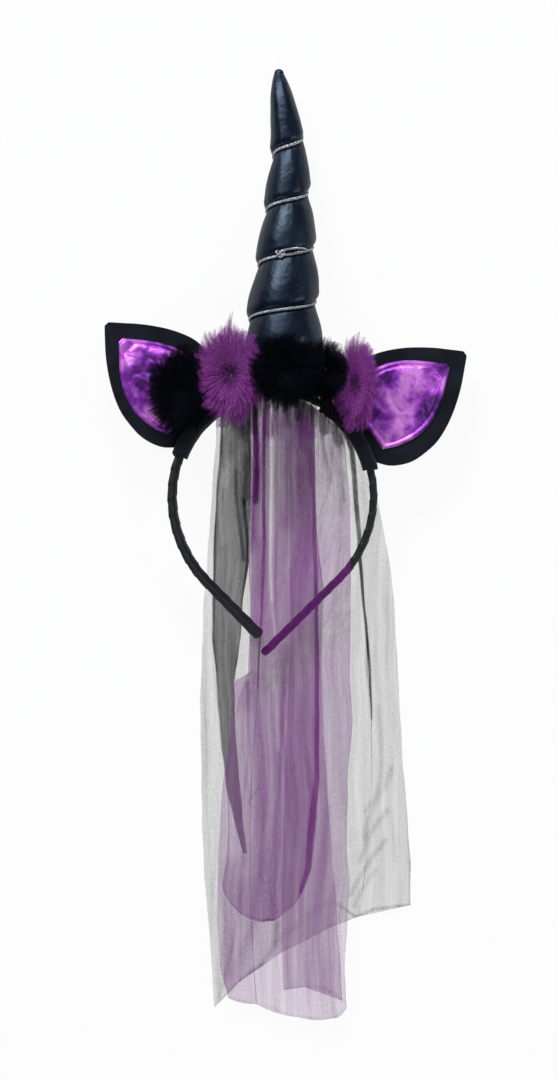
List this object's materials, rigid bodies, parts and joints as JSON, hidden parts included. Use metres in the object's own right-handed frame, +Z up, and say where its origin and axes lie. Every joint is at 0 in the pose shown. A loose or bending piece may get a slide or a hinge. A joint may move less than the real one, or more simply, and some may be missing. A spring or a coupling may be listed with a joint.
{
  "type": "unicorn horn headband",
  "caption": "Unicorn costume headband: satin-covered hoop with a stuffed spiral horn, felt ears with shiny insets, tulle rosettes and a long black and purple tulle veil, lying flat.",
  "frame": {"origin": "centre of the outline in plan, at the lowest point, where the horn and the veil rest", "axes": "+Y from the veil's hem to the horn's tip, +X to the right as the face side is seen, +Z up, out of the face side"},
  "size_m": [0.1996, 0.5236, 0.0578],
  "materials": {
    "satin_black": "satin ribbon",
    "faux_leather_black": "glossy coated cloth",
    "silver_cord": "metallic twisted cord",
    "felt_black": "matt felt",
    "foil_purple": "crinkled metallic foil cloth",
    "tulle_black": "fine hexagonal net",
    "tulle_purple": "fine hexagonal net"
  },
  "bodies": {
    "root": {"headband": "satin_black", "horn": "faux_leather_black", "horn_cord": "silver_cord", "ear_sleeve_left": "felt_black", "ear_sleeve_right": "felt_black", "ear_left": "felt_black", "ear_right": "felt_black", "ear_inset_left": "foil_purple", "ear_inset_right": "foil_purple", "rosette_black_left": "tulle_black", "rosette_purple_left": "tulle_purple", "rosette_black_middle": "tulle_black", "rosette_black_right": "tulle_black", "rosette_purple_right": "tulle_purple", "veil_black_back": "tulle_black", "veil_black_fold": "tulle_black", "veil_purple_loop": "tulle_purple", "veil_purple_wide": "tulle_purple"}
  },
  "joints": []
}
